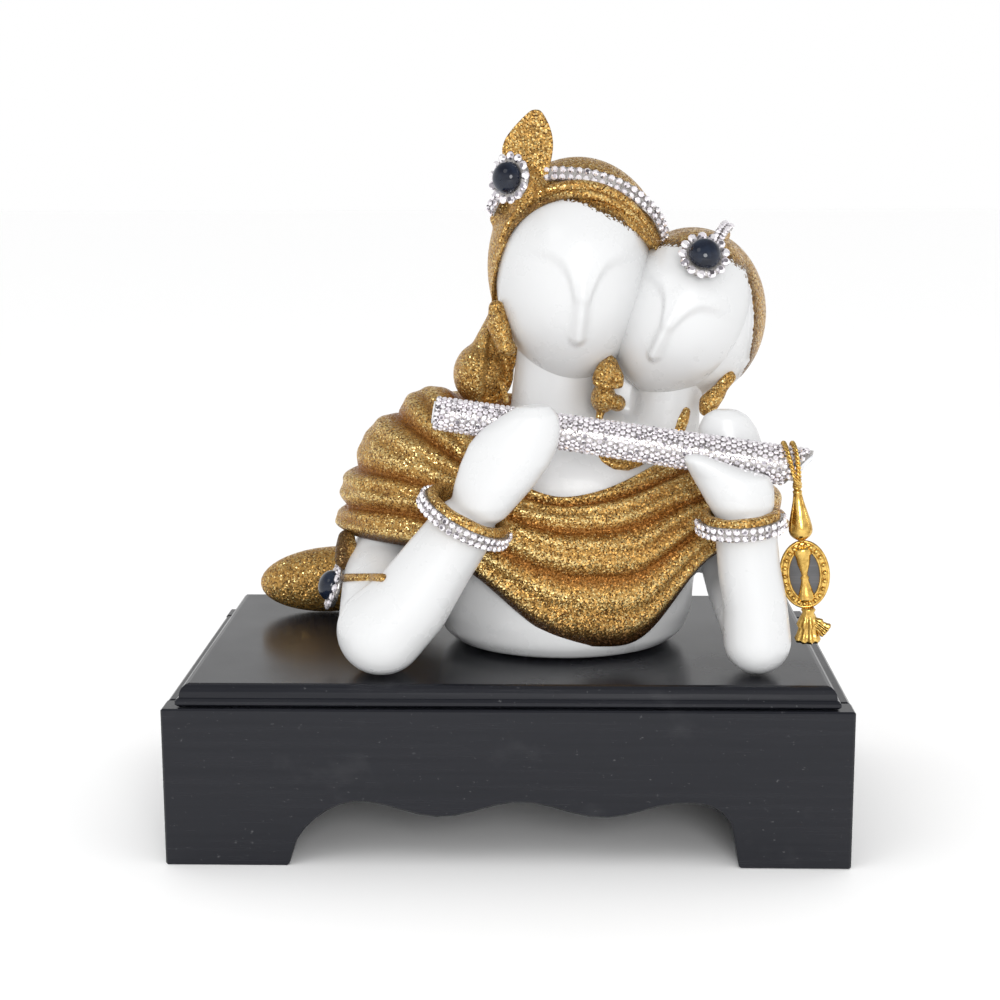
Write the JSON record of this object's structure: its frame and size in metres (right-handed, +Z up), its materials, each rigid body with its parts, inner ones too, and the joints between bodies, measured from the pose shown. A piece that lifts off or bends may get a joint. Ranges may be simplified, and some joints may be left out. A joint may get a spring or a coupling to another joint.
{
  "type": "decorative statue",
  "caption": "Moulded white statue of two figures leaning together over a flute, with a gold shawl, stone trim and a hanging tassel, on a dark box plinth with a shaped front opening.",
  "frame": {"origin": "centre of the plinth's footprint, on the surface it stands on", "axes": "+Z up; -Y towards the viewer, the side the two faces look to; +X to the viewer's right, where the tassel hangs"},
  "size_m": [0.194, 0.1164, 0.2111],
  "materials": {
    "white_resin": "glossy white cast resin, with gold glitter paint on the shawl, hair trim and ornaments",
    "white_plastic": "plain white plastic tube",
    "stone_strip": "clear faceted stones in silver cups",
    "dark_cabochon": "very glossy blue-black domed stone",
    "bright_gold": "polished gold plating",
    "painted_board": "dark grey semi-gloss paint with fine level streaks"
  },
  "bodies": {
    "root": {"armlet_setting": "stone_strip", "armlet_stone": "dark_cabochon", "bangle_band_left": "stone_strip", "bangle_band_right": "stone_strip", "crown_band": "stone_strip", "crown_setting": "stone_strip", "crown_stone": "dark_cabochon", "figure": "white_resin", "flute_sleeve": "stone_strip", "flute_tube": "white_plastic", "forehead_setting": "stone_strip", "forehead_stone": "dark_cabochon", "parting_strip": "stone_strip", "plinth_back": "painted_board", "plinth_front": "painted_board", "plinth_left": "painted_board", "plinth_right": "painted_board", "plinth_top": "painted_board", "tassel_cap": "bright_gold", "tassel_charm": "bright_gold", "tassel_drop": "bright_gold", "tassel_thread": "bright_gold"}
  },
  "joints": []
}
